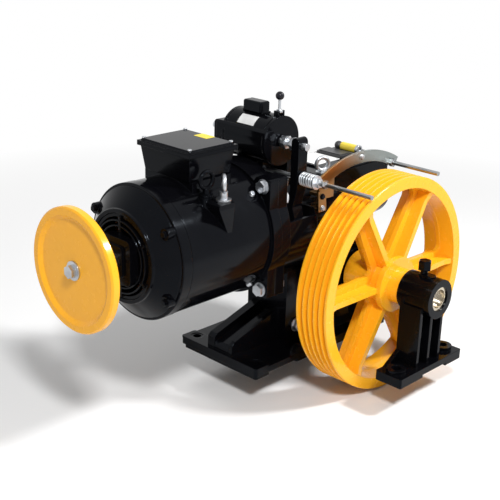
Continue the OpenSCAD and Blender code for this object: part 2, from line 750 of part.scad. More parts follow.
// Lifting eye along +Z, its ring turned about the stem
module eyebolt(stem, ring_r, wire_r, turn) {
    cylinder(r = ring_r, h = 5);
    cylinder(r = 0.55 * ring_r, h = stem - ring_r);
    translate([0, 0, stem]) rotate([90, 0, turn]) rotate_extrude($fn = 48)
        translate([ring_r, 0]) circle(wire_r, $fn = 24);
}

module eyebolts() color([0.72, 0.73, 0.73]) {
    translate([-407, -140, lug_top]) eyebolt(42, 18, 5.5, 50);
    translate([sheave_x - 66, -66, cover_z]) eyebolt(26, 17, 5.5, -30);
}

// ---------- Brake ----------

module brake_drum() color([0.4, 0.4, 0.42]) along_x(drum_x) difference() {
    union() {
        translate([0, 0, -drum_w / 2]) cylinder(r = drum_r, h = drum_w, $fn = 96);
        translate([0, 0, -44]) cylinder(r = 42, h = 88);
    }
    for (z = [-drum_w / 2 - 1, 7]) translate([0, 0, z]) difference() {
        cylinder(r = drum_r - 11, h = drum_w / 2 - 6, $fn = 96);
        cylinder(r = 42, h = drum_w);
    }
    translate([0, 0, -50]) cylinder(r = motor_shaft_d / 2, h = 48);
    translate([0, 0, -3]) cylinder(r = worm_shaft_d / 2, h = 60);
}

// Brake arm on the -Y side: straight above the drum's middle, curved below it
module arm_shape() {
    inner = drum_r + lining_t;
    difference() {
        union() {
            head_z = arm_top - motor_z - 12;
            // Straight above the rod, leaning in to the curved part below it
            polygon([[-arm_out, 110], [-arm_out + 13, 58], [-inner - 9.5, 58], [-arm_in, 110],
                [-arm_in, head_z], [-arm_out, head_z]]);
            translate([-(arm_out + arm_in) / 2, head_z]) circle(12);
            intersection() {
                difference() {
                    circle(arm_out, $fn = 96);
                    circle(inner + 9, $fn = 96);
                }
                polygon([[-160, 62], [-90, 62], [0, 0], [-pivot_y - 2, -pivot_drop - 14], [-160, -152]]);
            }
            translate([-pivot_y, -pivot_drop]) circle(14);
        }
        translate([-pivot_y, -pivot_drop]) circle(pin_d / 2 + running_gap);
    }
}

module arm_body() difference() {
    along_x(drum_x - arm_w / 2) rotate(90) linear_extrude(arm_w) arm_shape();
    ycyl(-arm_out - 5, -arm_in + 5, 9, drum_x, magnet_z);
    ycyl(-arm_out - 5, -arm_in + 5, rod_d / 2 + 3, drum_x, rod_z);
}

module near_brake_arm() color([0.06, 0.06, 0.07]) arm_body();
module far_brake_arm() color([0.06, 0.06, 0.07]) mirror([0, 1, 0]) arm_body();

// Curved shoe with its lining on the drum
module lining() along_x(drum_x - drum_w / 2 + 3) rotate(90) linear_extrude(drum_w - 6)
    intersection() {
        difference() {
            circle(drum_r + lining_t + 9, $fn = 96);
            circle(drum_r + shoe_gap, $fn = 96);
        }
        polygon([[0, 0], [-200, 120], [-200, -120]]);
    }

module near_lining() color([0.35, 0.27, 0.2]) lining();
module far_lining() color([0.35, 0.27, 0.2]) mirror([0, 1, 0]) lining();

module arm_pivot_pins() color([0.7, 0.71, 0.72]) for (s = [-1, 1])
    xcyl(drum_x - 46, drum_x + 46, pin_d / 2, s * pivot_y, motor_z - pivot_drop);

module brake_magnet() color([0.06, 0.06, 0.07]) difference() {
    half = magnet_len / 2;
    union() {
        ycyl(-half, half, magnet_r, drum_x, magnet_z, $fn = 96);
        // Square-edged terminal rail along the motor side
        translate([drum_x - 63, half + 18, magnet_z]) rotate([90, 0, 0]) linear_extrude(magnet_len + 18)
            polygon([[0, -8], [0, 28], [6, 34], [40, 34], [40, -8]]);
    }
    for (s = [-1, 1]) translate([drum_x, s * half, magnet_z]) rotate([90, 0, 0])
        cylinder(r = 11, h = 60, center = true);
    // Grooves that set off the two end caps
    for (y = [-half + 9, half - 11]) along_y(y, drum_x, magnet_z) difference() {
        cylinder(r = magnet_r + 1, h = 2, $fn = 96);
        cylinder(r = magnet_r - 1.5, h = 2, $fn = 96);
    }
}

module magnet_bracket() color([0.06, 0.06, 0.07]) difference() {
    union() {
        box(drum_x - 34, case_x0 + 42, -46, 46, rod_z + 9, rod_z + 22);
        box(drum_x - 34, drum_x + 32, -46, -28, rod_z + 9, magnet_z - 20);
        box(drum_x - 34, drum_x + 32, 34, 46, rod_z + 9, magnet_z - 20);
        box(case_x0 + 16, case_x0 + 42, -40, 40, motor_z + 70, rod_z + 10);
    }
    ycyl(-100, 100, magnet_r, drum_x, magnet_z, $fn = 96);
    xcyl(case_x0 - 6, case_x0 + 60, worm_case_r, $fn = 96);
}

module magnet_terminal_box() color([0.08, 0.08, 0.09]) difference() {
    union() {
        box(drum_x - 24, drum_x + 11, -15, 40, magnet_z + 67, magnet_z + 92);
        box(drum_x - 20, drum_x + 8, -30, 44, magnet_z + 58, magnet_z + 67.5);
        ycyl(-27, -14, 7, drum_x - 2, magnet_z + 78);
    }
    ycyl(-100, 100, magnet_r, drum_x, magnet_z, $fn = 96);
}

module plunger_body() {
    ycyl(-magnet_len / 2 - 5, -magnet_len / 2 + 24, 11 - running_gap, drum_x, magnet_z);
    ycyl(-magnet_len / 2 - 10, -magnet_len / 2 - 4, 15, drum_x, magnet_z);
}

module near_plunger() color([0.7, 0.71, 0.72]) plunger_body();
module far_plunger() color([0.7, 0.71, 0.72]) mirror([0, 1, 0]) plunger_body();

// Adjusting screws, each with its hex collar and lock nut in its arm
module adjusting_screw() {
    plunger_end = magnet_len / 2 + 10;
    ycyl(-arm_out - 14, -plunger_end - 2, 9, drum_x, magnet_z);
    along_y(-plunger_end - 12.3, drum_x, magnet_z) hex_nut(18, 12, false);
    along_y(-arm_in, drum_x, magnet_z) hex_nut(18, 12, false);
}

module near_adjuster() color([0.75, 0.76, 0.75]) adjusting_screw();
module far_adjuster() color([0.75, 0.76, 0.75]) mirror([0, 1, 0]) adjusting_screw();

lever_pin_z = magnet_z + magnet_r + 8;
module lever_bracket() color([0.08, 0.08, 0.09]) difference() {
    union() {
        for (x = [-7, 13]) translate([drum_x + x - 2, lever_y - 7, magnet_z + magnet_r - 8])
            cube([5, 14, 19]);
        xcyl(drum_x - 9, drum_x + 17, 3, lever_y, lever_pin_z);
    }
    ycyl(-100, 0, magnet_r, drum_x, magnet_z, $fn = 96);
}

module release_lever() color([0.08, 0.08, 0.09]) translate([drum_x + 4, lever_y, lever_pin_z]) {
    difference() {
        union() {
            rotate([0, 90, 0]) cylinder(r = 7, h = 10, center = true);
            cylinder(r = 3.5, h = 38);
            translate([0, 0, 40]) sphere(11, $fn = 32);
        }
        rotate([0, 90, 0]) cylinder(r = 3 + running_gap, h = 20, center = true);
    }
}

module tie_rod() color([0.75, 0.76, 0.75]) ycyl(-222, 222, rod_d / 2, drum_x, rod_z);

module tie_rod_nuts() color([0.75, 0.76, 0.75]) for (s = [0, 1]) mirror([0, s, 0]) {
    along_y(-spring_y0 - spring_len - 4, drum_x, rod_z) difference() {
        cylinder(r = 18, h = 4);
        translate([0, 0, -1]) cylinder(r = rod_d / 2, h = 6);
    }
    along_y(-spring_y0 - spring_len - 15, drum_x, rod_z) hex_nut(rod_d, 11);
}

// Coil spring along +Z: rings of a round wire carried along the helix
module coil(od, wire, len, turns) {
    sides = 8;
    steps = 18;
    n = round(turns * steps);
    mid_r = (od - wire) / 2;
    points = [for (k = [0:n], s = [0:sides - 1])
        let (a = 360 * k / steps, b = 360 * s / sides, rr = mid_r + wire / 2 * cos(b))
        [rr * cos(a), rr * sin(a), wire / 2 + (len - wire) * k / n + wire / 2 * sin(b)]];
    faces = [for (k = [0:n - 1], s = [0:sides - 1])
        [k * sides + s, k * sides + (s + 1) % sides, (k + 1) * sides + (s + 1) % sides,
            (k + 1) * sides + s]];
    polyhedron(points, concat(faces, [[for (s = [sides - 1:-1:0]) s]],
        [[for (s = [0:sides - 1]) n * sides + s]]), convexity = 10);
}

module near_spring() color([0.78, 0.79, 0.78])
    along_y(-spring_y0 - spring_len, drum_x, rod_z) coil(spring_d, spring_wire, spring_len, 5.5);
module far_spring() color([0.78, 0.79, 0.78])
    along_y(spring_y0, drum_x, rod_z) coil(spring_d, spring_wire, spring_len, 5.5);

// ---------- Rope guard ----------

guard_y = -143;
guard_r = sheave_r + 19;
stud_a = [118.9, 65];
module guard_at(a, y) translate([sheave_x + guard_r * cos(a), y, sheave_z + guard_r * sin(a)])
    rotate([-90, 0, 0]) children();

module rope_guard() color([0.78, 0.79, 0.78]) difference() {
    along_y(guard_y - 3) rotate([0, 0, -stud_a[0] - 4])
        rotate_extrude(angle = stud_a[0] - stud_a[1] + 8, $fn = 128)
            translate([sheave_r + 11, 0]) square([31, 6]);
    for (a = stud_a) guard_at(a, guard_y - 10) cylinder(r = 6, h = 20);
}

module guard_studs() color([0.75, 0.76, 0.75]) for (i = [0, 1]) {
    // The first stud also passes through its leg
    back = guard_y + 3 + (i == 0 ? 6 : 0);
    guard_at(stud_a[i], -sheave_front - 10) cylinder(r = 6, h = sheave_front + 22 + back);
    guard_at(stud_a[i], guard_y - 12) hex_nut(12, 9);
    guard_at(stud_a[i], back) hex_nut(12, 9);
}

// Legs from the gearbox up to the back of the guard
module guard_brackets() color([0.3, 0.3, 0.31]) difference() {
    guard_legs();
    guard_at(stud_a[0], guard_y) cylinder(r = 6, h = 20);
}

module guard_legs() {
    back = guard_y + 3;
    low_z = motor_z + 27;
    hull() {
        guard_at(stud_a[0], back) cylinder(r = 14, h = 6);
        box(sheave_x - 160, sheave_x - 130, back, back + 6, low_z, low_z + 12);
    }
    box(sheave_x - 160, sheave_x - 130, back + 5, -102, low_z, low_z + 8);
    mid_x = -20;
    rim_z = sheave_z + sqrt(pow(guard_r, 2) - pow(sheave_x - mid_x, 2));
    box(mid_x - 17, mid_x + 17, back, back + 6, cover_z - 40, rim_z + 8);
    box(mid_x - 17, mid_x + 17, back + 5, -86, cover_z - 40, cover_z - 32);
}

// ---------- Pedestal ----------

ped_x0 = sheave_x - pedestal_pitch / 2 - 33;
ped_x1 = sheave_x + pedestal_pitch / 2 + 33;
ped_hole_y = -(pedestal_back + 54);
module pedestal() color([0.05, 0.05, 0.06]) difference() {
    col_back = -(pedestal_back + 13);
    col_front = -(pedestal_back + 80);
    union() {
        difference() {
            translate([sheave_x, -(pedestal_back + 54), 0]) linear_extrude(26)
                rounded(ped_x1 - ped_x0, 82, 5);
            box(sheave_x - 40, sheave_x + 65, -(pedestal_back + 120), -(pedestal_back - 10), -1, 8);
        }
        for (s = [-1, 1]) translate([sheave_x + s * pedestal_pitch / 2, ped_hole_y, 20])
            cylinder(r = 26, h = 16);
        ycyl(-barrel_front, -pedestal_back, barrel_r, $fn = 96);
        // Side plates, middle rib and flared rear wall
        for (x = [-barrel_r, -5, barrel_r - 10])
            box(sheave_x + x, sheave_x + x + 10, col_front, col_back, 20, sheave_z - 20);
        translate([sheave_x, col_back, 0]) rotate([90, 0, 0]) linear_extrude(12) difference() {
            polygon([[-barrel_r, sheave_z], [-barrel_r, 60], [-ped_flare, 20],
                [ped_flare, 20], [barrel_r, 60], [barrel_r, sheave_z]]);
            for (s = [-1, 1]) translate([s * (ped_flare + 26), 118]) circle(92, $fn = 96);
        }
    }
    for (s = [-1, 1]) translate([sheave_x + s * pedestal_pitch / 2, ped_hole_y, -1])
        cylinder(d = pedestal_bolt_d, h = 60);
    ycyl(-barrel_front - 1, -pedestal_back + 1, bush_d / 2);
    translate([sheave_x, -(pedestal_back + 65), sheave_z]) cylinder(r = 5, h = 80);
}
ped_flare = 118;

module pedestal_bush() color([0.75, 0.55, 0.25]) difference() {
    ycyl(-barrel_front + 4, -barrel_front + 4 + bush_len, bush_d / 2);
    ycyl(-barrel_front + 3, -barrel_front + 5 + bush_len, journal_d / 2 + running_gap);
}

module grease_cap() color([0.06, 0.06, 0.07]) {
    difference() {
        translate([sheave_x, -(pedestal_back + 65), sheave_z + barrel_r - 3]) cylinder(r = 10, h = 27);
        ycyl(-barrel_front - 1, 0, barrel_r, $fn = 96);
    }
    translate([sheave_x, -(pedestal_back + 65), sheave_z + barrel_r]) {
        translate([0, 0, 23]) cylinder(r = 15.5, h = 20);
        translate([0, 0, -10]) cylinder(r = 5, h = 12);
    }
}

gearbox_housing();
front_bearing_cover();
rear_bearing_cover();
worm_end_cap();
top_cover();
terminal_cover();
oil_elbow();
oil_filler();
filler_ring();
drain_plug();
case_bolts();
sheave_bearings();
worm_bearings();
sheave();
sheave_shaft();
shaft_keys();
worm_wheel_hub();
worm_wheel_rim();
worm_shaft();
motor_housing();
motor_end_shield();
end_grille();
stator_core();
stator_windings();
rotor();
motor_shaft();
motor_bearings();
handwheel();
handwheel_bolt();
flange_bolts();
shield_screws();
terminal_box();
terminal_box_lid();
lifting_ring();
eyebolts();
brake_drum();
near_brake_arm();
far_brake_arm();
near_lining();
far_lining();
arm_pivot_pins();
brake_magnet();
magnet_bracket();
magnet_terminal_box();
near_plunger();
far_plunger();
release_lever();
lever_bracket();
near_adjuster();
far_adjuster();
tie_rod();
tie_rod_nuts();
near_spring();
far_spring();
rope_guard();
guard_studs();
guard_brackets();
pedestal();
pedestal_bush();
grease_cap();
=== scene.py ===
import json
import math

import bmesh
import bpy
from mathutils import Matrix, Vector

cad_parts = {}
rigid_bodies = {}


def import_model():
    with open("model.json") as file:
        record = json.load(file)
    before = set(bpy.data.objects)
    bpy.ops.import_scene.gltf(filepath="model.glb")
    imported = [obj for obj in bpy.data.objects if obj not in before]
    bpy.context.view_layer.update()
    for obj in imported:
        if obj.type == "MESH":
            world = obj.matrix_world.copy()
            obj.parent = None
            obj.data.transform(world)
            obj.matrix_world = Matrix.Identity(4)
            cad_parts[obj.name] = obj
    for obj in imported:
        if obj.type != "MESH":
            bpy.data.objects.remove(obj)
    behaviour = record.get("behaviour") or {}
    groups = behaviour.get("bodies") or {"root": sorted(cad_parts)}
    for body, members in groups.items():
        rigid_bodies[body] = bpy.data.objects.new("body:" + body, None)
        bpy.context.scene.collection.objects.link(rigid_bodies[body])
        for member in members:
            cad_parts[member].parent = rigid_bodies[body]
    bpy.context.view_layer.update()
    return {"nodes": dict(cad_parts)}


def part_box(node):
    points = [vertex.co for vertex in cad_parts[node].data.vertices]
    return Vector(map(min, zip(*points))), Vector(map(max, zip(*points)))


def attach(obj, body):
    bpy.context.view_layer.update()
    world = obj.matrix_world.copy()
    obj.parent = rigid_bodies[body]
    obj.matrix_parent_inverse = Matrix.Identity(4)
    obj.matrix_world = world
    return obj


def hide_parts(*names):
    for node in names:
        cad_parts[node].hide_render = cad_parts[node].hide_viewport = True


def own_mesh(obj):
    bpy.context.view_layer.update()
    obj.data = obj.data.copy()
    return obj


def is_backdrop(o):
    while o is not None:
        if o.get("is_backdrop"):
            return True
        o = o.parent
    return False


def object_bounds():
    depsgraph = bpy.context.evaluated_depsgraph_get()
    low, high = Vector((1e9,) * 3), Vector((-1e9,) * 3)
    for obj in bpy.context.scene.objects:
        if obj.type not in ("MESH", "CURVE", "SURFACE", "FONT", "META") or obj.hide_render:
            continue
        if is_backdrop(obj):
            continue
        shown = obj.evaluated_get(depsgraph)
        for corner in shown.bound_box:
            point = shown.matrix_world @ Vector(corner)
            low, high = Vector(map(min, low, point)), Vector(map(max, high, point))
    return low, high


for leftover in list(bpy.data.objects):
    bpy.data.objects.remove(leftover, do_unlink=True)
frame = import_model()

# ---- camera and studio ----
CAMERA_AT = Vector((-1.986, -1.744, 1.221))
CAMERA_AZIMUTH = math.radians(-46.2)
CAMERA_ELEVATION = math.radians(20.14)
CAMERA_ROLL = math.radians(1.64)
CAMERA_LENS = 72.75
SENSOR_WIDTH = 36.0
CLIP_END = 200.0
WORLD_STRENGTH = 0.30
LAMP_AIM = Vector((-0.15, 0, 0.3))
FLOOR_RADIUS = 30.0
FLOOR_SIDES = 96
FLOOR_GREY = 0.88
FLOOR_ROUGHNESS = 0.9
FLOOR_GAP = 0.0005           # between the floor and the object's lowest point
FLOOR_FADE = (1.1, 2.6)      # the floor turns from shaded to plain white between these radii

# ---- blank plates and stickers, metres ----
PLATE_SIZE = (0.098, 0.096)
PLATE_T = 0.0008             # thickness of the white plate
PLATE_CORNER = 0.003
PLATE_GAP = 0.003            # between the white plate and the dark cover
RIVET_R = 0.0022
RIVET_INSET = 0.006          # from the plate's edges
STICKER_SIZE = (0.030, 0.046)
STICKER_T = 0.0003           # thickness of the sticker
STICKER_CORNER = 0.002
STICKER_SHIFT = 0.056        # from the lid's middle, along the motor
LABEL_ARC = (118.5, 145.0)   # degrees round the magnet, from +X upwards
LABEL_Y = (-0.026, 0.031)
LABEL_DEPTHS = (-0.0002, 0.0004)  # its inner and outer face, from the magnet's surface
LABEL_STEPS = 24
CORNER_STEPS = 5             # straight pieces in a sheet's rounded corner

# ---- pedestal's grease plug, metres ----
PLUG_SHIFT = 0.021           # the plug stands further in along the barrel than the cap
PLUG_LIFT = 0.013            # from the barrel's top to the hexagon
PLUG_TOP_GAP = 0.003         # the hexagon ends this far below the cap's top
PLUG_R = 0.0180
PLUG_FOOT_R = 0.0155
PLUG_CROWN_R = 0.0150
PLUG_CHAMFERS = (0.002, 0.003)  # heights, below and above
NECK_R = 0.0095
NECK_SUNK = 0.004            # into the barrel
NECK_INTO_HEAD = 0.001
PAD_WIDTH = 0.028
PAD_SHORTER = 0.022          # taken off the pad's length
PAD_FLAT = 0.001             # half the straight part left in the pad's round end
PAD_SUNK = 0.0045            # how far the pad's edge reaches down the barrel's curve
PAD_HEIGHT = 0.003           # above the barrel's top

# ---- brake springs, magnet box and bolts, metres ----
SPRING_WIRE = 0.0050
SPRING_TURNS = 6
SPRING_CLOSING = 0.26        # how far the end coils close up, from 0 to 1
STEPS_PER_TURN = 36
WIRE_SIDES = 12
LEVER_BALL = 0.019           # how much of the lever's top is its ball
BOX_BODY = 0.030             # height of the magnet box's body, whose rounding the foot overlaps
BOX_INSETS = (0.006, 0.004)  # the body is this much shorter than its foot, at -Y and +Y
BOX_ROUND = 0.0055
FOOT_INSETS = (0.004, 0.003)  # the foot is this much narrower than the body, at -X and +X
FOOT_ROUND = 0.002
ROUND_SEGMENTS = 6
LEG_BOLTS = (                # name, place from the bracket's low corner along X and Z, finish
    ("leg_bolt_black", 0.0175, 0.0410, "black_enamel"),
    ("leg_bolt_plated", 0.0205, 0.0090, "zinc_plate"),
)
GUARD_BOLT_DOWN = 0.0155     # from the guard's crown to its own bolt
BOLT_R = 0.0070
BOLT_H = 0.0050
BOLT_CHAMFER = 0.001
WASHER_RIM = 0.0012          # how far the washer shows round the head
WASHER_T = 0.0010
WASHER_SUNK = 0.0002

# ---- finishes ----
EDGE_RADIUS = 0.0015         # how round machined edges look
CAST_RADIUS = 0.0022         # and the castings' edges
ORANGE_PEEL = 0.0006         # heights of the bumps, before their strength
TOOL_MARKS = 0.0002
FINE_GRAIN = 0.0004
DUST_GREY = 0.30
TARNISH = 0.72               # how dark the tarnish is, as a share of the metal
UNEVEN = 0.82                # the same for plastic and paper
GUARD_REFLECTION_FADE = (-0.02, 0.12)  # the guard's painted orange reflection fades into grey between these places on X

# ---- colours, linear ----
ORANGE = (0.95, 0.44, 0.014)
BLACK = (0.0016, 0.0016, 0.0024)
ZINC = (0.54, 0.56, 0.59)
STEEL = (0.50, 0.49, 0.47)
IRON = (0.30, 0.30, 0.31)
BRONZE = (0.55, 0.34, 0.13)
BUSHING = (0.56, 0.49, 0.38)
CORE = (0.32, 0.33, 0.35)
COPPER = (0.46, 0.16, 0.05)
LINING = (0.13, 0.09, 0.06)
PLASTIC = (0.03, 0.03, 0.032)
BALL = (0.008, 0.008, 0.012)
WHITE = (0.88, 0.88, 0.87)
# painted reflection of the orange sheave on the guard's near end; the far end is a darker grey
PAINTED_ORANGE_REFLECTION = (0.31, 0.17, 0.065)
GUARD_FAR_GREY = (0.29, 0.32, 0.31)
ROD = (0.36, 0.37, 0.38)
YELLOW = (0.85, 0.66, 0.06)


def shader_tree(name):
    """A new node material with its nodes, links, principled shader and object coordinates."""
    material = bpy.data.materials.new(name)
    material.use_nodes = True
    nodes = material.node_tree.nodes
    coords = nodes.new("ShaderNodeTexCoord").outputs["Object"]
    return material, nodes, material.node_tree.links, nodes["Principled BSDF"], coords


def noise(nodes, links, coords, scale, detail=3.0, stretch=None):
    """A noise of the given scale, stretched along an axis where its scale is small."""
    if stretch:
        mapping = nodes.new("ShaderNodeMapping")
        mapping.inputs["Scale"].default_value = stretch
        links.new(coords, mapping.inputs["Vector"])
        coords = mapping.outputs["Vector"]
    texture = nodes.new("ShaderNodeTexNoise")
    texture.inputs["Scale"].default_value = scale
    texture.inputs["Detail"].default_value = detail
    links.new(coords, texture.inputs["Vector"])
    return texture.outputs["Fac"]


def remap(nodes, links, value, low, high, to_low, to_high):
    node = nodes.new("ShaderNodeMapRange")
    sockets = ("From Min", "From Max", "To Min", "To Max")
    for socket, number in zip(sockets, (low, high, to_low, to_high)):
        node.inputs[socket].default_value = number
    links.new(value, node.inputs["Value"])
    return node.outputs["Result"]


def mix_colour(nodes, links, factor, first, second):
    node = nodes.new("ShaderNodeMix")
    node.data_type = "RGBA"
    node.inputs["A"].default_value = (*first, 1)
    node.inputs["B"].default_value = (*second, 1)
    links.new(factor, node.inputs["Factor"])
    return node.outputs["Result"]


def bump(nodes, links, shader, height, strength, distance, edge=EDGE_RADIUS):
    """Small bumps over softly rounded edges."""
    node = nodes.new("ShaderNodeBump")
    node.inputs["Strength"].default_value = strength
    node.inputs["Distance"].default_value = distance
    links.new(height, node.inputs["Height"])
    edges = nodes.new("ShaderNodeBevel")
    edges.inputs["Radius"].default_value = edge
    links.new(edges.outputs["Normal"], node.inputs["Normal"])
    links.new(node.outputs["Normal"], shader.inputs["Normal"])


def enamel(name, colour, rough, cast, dust, specular, painted_sky_tint=(1, 1, 1)):
    """Gloss paint over a casting: orange peel, soft edges, and a little dust in patches."""
    material, nodes, links, shader, coords = shader_tree(name)
    patches = remap(nodes, links, noise(nodes, links, coords, 9.0, 5.0), 0.42, 0.72, 0.0, 1.0)
    dusty = tuple(c + (DUST_GREY - c) * dust for c in colour)
    links.new(mix_colour(nodes, links, patches, colour, dusty), shader.inputs["Base Color"])
    grain = noise(nodes, links, coords, 45.0, 4.0)
    gloss = remap(nodes, links, grain, 0.3, 0.7, rough * 0.75, rough * 1.4)
    links.new(gloss, shader.inputs["Roughness"])
    peel = noise(nodes, links, coords, 240.0, 3.0)
    bump(nodes, links, shader, peel, cast, ORANGE_PEEL, CAST_RADIUS)
    shader.inputs["Specular IOR Level"].default_value = specular
    # a blue tint here paints a sky reflection into the gloss
    shader.inputs["Specular Tint"].default_value = (*painted_sky_tint, 1)
    return material


def metal(name, colour, rough, stretch, mark, spread=0.3):
    """Bare or plated metal: tool marks along one direction, and tarnish in patches.

    The spread says how far the marks change the roughness. Bright plating needs a small one,
    or its highlights break up into specks.
    """
    material, nodes, links, shader, coords = shader_tree(name)
    tarnish = remap(nodes, links, noise(nodes, links, coords, 28.0, 5.0), 0.4, 0.7, 0.0, 1.0)
    dull = tuple(c * TARNISH for c in colour)
    links.new(mix_colour(nodes, links, tarnish, colour, dull), shader.inputs["Base Color"])
    lines = noise(nodes, links, coords, 300.0, 2.0, stretch)
    gloss = remap(nodes, links, lines, 0.3, 0.7, rough * (1 - spread), rough * (1 + spread))
    links.new(gloss, shader.inputs["Roughness"])
    bump(nodes, links, shader, lines, mark, TOOL_MARKS)
    shader.inputs["Metallic"].default_value = 1.0
    return material


def plain(name, colour, rough, grain, strength):
    """Plastic, lining, varnish or paper: a fine grain over a slightly uneven colour."""
    material, nodes, links, shader, coords = shader_tree(name)
    uneven = remap(nodes, links, noise(nodes, links, coords, 30.0, 4.0), 0.35, 0.7, 0.0, 1.0)
    darker = tuple(c * UNEVEN for c in colour)
    links.new(mix_colour(nodes, links, uneven, colour, darker), shader.inputs["Base Color"])
    specks = noise(nodes, links, coords, grain, 3.0)
    gloss = remap(nodes, links, specks, 0.3, 0.7, rough * 0.85, min(1.0, rough * 1.2))
    links.new(gloss, shader.inputs["Roughness"])
    bump(nodes, links, shader, specks, strength, FINE_GRAIN)
    return material


def placed(material):
    """A material's nodes, links and principled shader, and the place on X, Y and Z."""
    nodes, links = material.node_tree.nodes, material.node_tree.links
    place = nodes.new("ShaderNodeSeparateXYZ")
    links.new(nodes.new("ShaderNodeTexCoord").outputs["Object"], place.inputs[0])
    return nodes, links, nodes["Principled BSDF"], place.outputs


def two_tone(name, lower, upper, height):
    """A plated stem with a plastic ball above the given height."""
    material = metal(name, lower, 0.25, (1, 1, 1), 0.08)
    nodes, links, shader, place = placed(material)
    above = nodes.new("ShaderNodeMath")
    above.operation = "GREATER_THAN"
    links.new(place["Z"], above.inputs[0])
    above.inputs[1].default_value = height
    links.new(mix_colour(nodes, links, above.outputs[0], lower, upper), shader.inputs["Base Color"])
    links.new(remap(nodes, links, above.outputs[0], 0, 1, 1, 0), shader.inputs["Metallic"])
    shader.inputs["Specular IOR Level"].default_value = 0.2
    return material


def along_x(name, first, second, between):
    """Plating with a painted reflection whose colour changes along the machine, between two places
    on X.
    """
    material = metal(name, first, 0.33, (0.1, 0.5, 0.1), 0.01, spread=0.05)
    nodes, links, shader, place = placed(material)
    share = remap(nodes, links, place["X"], *between, 0, 1)
    links.new(mix_colour(nodes, links, share, first, second), shader.inputs["Base Color"])
    return material


FINISHES = {
    # the black gloss's reflections are tinted blue, a painted sky reflection
    "black_enamel": enamel("black_gloss", BLACK, 0.11, 0.05, 0.004, 0.09, (0.75, 0.86, 1)),
    "orange_enamel": enamel("orange_gloss", ORANGE, 0.22, 0.025, 0.003, 0.35),
    "zinc_plate": metal("zinc", ZINC, 0.34, (0.3, 0.3, 0.3), 0.01, spread=0.05),
    "turned_steel": metal("turned", STEEL, 0.28, (1, 6, 1), 0.22),
    "bare_iron": metal("iron", IRON, 0.42, (6, 1, 1), 0.25),
    "bronze": metal("bronze", BRONZE, 0.32, (1, 6, 1), 0.18),
    "laminated_core": metal("laminations", CORE, 0.45, (9, 0.4, 0.4), 0.5),
    "windings": plain("windings", COPPER, 0.35, 180.0, 0.4),
    "lining": plain("lining", LINING, 0.85, 260.0, 0.5),
    "dark_plastic": plain("plastic", PLASTIC, 0.38, 320.0, 0.12),
    "yellow_plastic": plain("yellow_cap", YELLOW, 0.3, 260.0, 0.06),
}
WHITE_PLATE = plain("white_plate", WHITE, 0.35, 200.0, 0.05)
BUSH = metal("bush", BUSHING, 0.24, (0.3, 0.3, 0.3), 0.01, spread=0.06)
LEVER = two_tone("lever", ZINC, BALL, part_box("release_lever")[1].z - LEVER_BALL)
ROD_ZINC = metal("rod_zinc", ROD, 0.36, (0.3, 0.3, 0.3), 0.01, spread=0.05)
# the rope guard's plating, with the orange sheave's reflection painted into its near end
GUARD_PAINTED_REFLECTION = along_x("guard_painted_reflection", PAINTED_ORANGE_REFLECTION, GUARD_FAR_GREY, GUARD_REFLECTION_FADE)
YELLOW_PAPER = plain("yellow_paper", YELLOW, 0.5, 220.0, 0.08)

# Nodes that look different from their slot in the record
OVERRIDES = {
    "release_lever": LEVER,
    "rope_guard": GUARD_PAINTED_REFLECTION,
    "guard_brackets": GUARD_PAINTED_REFLECTION,
    "guard_studs": ROD_ZINC,
    "tie_rod": ROD_ZINC,
    "pedestal_bush": BUSH,
}


def dress_frame():
    """Each CAD node's slots get the finish that the record names, or the node's own."""
    for node in frame["nodes"].values():
        for material_slot in node.material_slots:
            base = material_slot.material.name.split(".")[0]
            material_slot.material = FINISHES[base]
    for name, finish in OVERRIDES.items():
        for material_slot in frame["nodes"][name].material_slots:
            material_slot.material = finish


def rounded_sheet(name, centre, size, thickness, radius, material):
    """A thin rounded rectangle lying flat, its lower face at the centre's height."""
    mesh = bmesh.new()
    corners = []
    for turn in range(4):
        sx = (1, -1, -1, 1)[turn]
        sy = (1, 1, -1, -1)[turn]
        for step in range(CORNER_STEPS + 1):
            angle = math.radians(90 * turn + 90 / CORNER_STEPS * step)
            corners.append((sx * (size[0] / 2 - radius) + radius * math.cos(angle),
                            sy * (size[1] / 2 - radius) + radius * math.sin(angle), 0))
    face = mesh.faces.new([mesh.verts.new(corner) for corner in corners])
    grown = bmesh.ops.extrude_face_region(mesh, geom=[face])["geom"]
    upper = [part for part in grown if isinstance(part, bmesh.types.BMVert)]
    bmesh.ops.translate(mesh, vec=(0, 0, thickness), verts=upper)
    bmesh.ops.recalc_face_normals(mesh, faces=mesh.faces)
    bmesh.ops.translate(mesh, vec=centre, verts=mesh.verts)
    return finished(name, mesh, material)


def finished(name, mesh, material):
    """The mesh as an object in the scene, with its material."""
    data = bpy.data.meshes.new(name)
    mesh.to_mesh(data)
    mesh.free()
    data.materials.append(material)
    piece = bpy.data.objects.new(name, data)
    bpy.context.scene.collection.objects.link(piece)
    return piece


def smooth(piece):
    for polygon in piece.data.polygons:
        polygon.use_smooth = True


def rivets(name, places, top, radius, material):
    """Low domed heads, each a flattened ball half sunk in the plate."""
    mesh = bmesh.new()
    for x, y in places:
        head = bmesh.ops.create_uvsphere(mesh, u_segments=20, v_segments=10, radius=radius)["verts"]
        bmesh.ops.scale(mesh, vec=(1, 1, 0.5), verts=head)
        bmesh.ops.translate(mesh, vec=(x, y, top), verts=head)
    piece = finished(name, mesh, material)
    smooth(piece)
    return piece


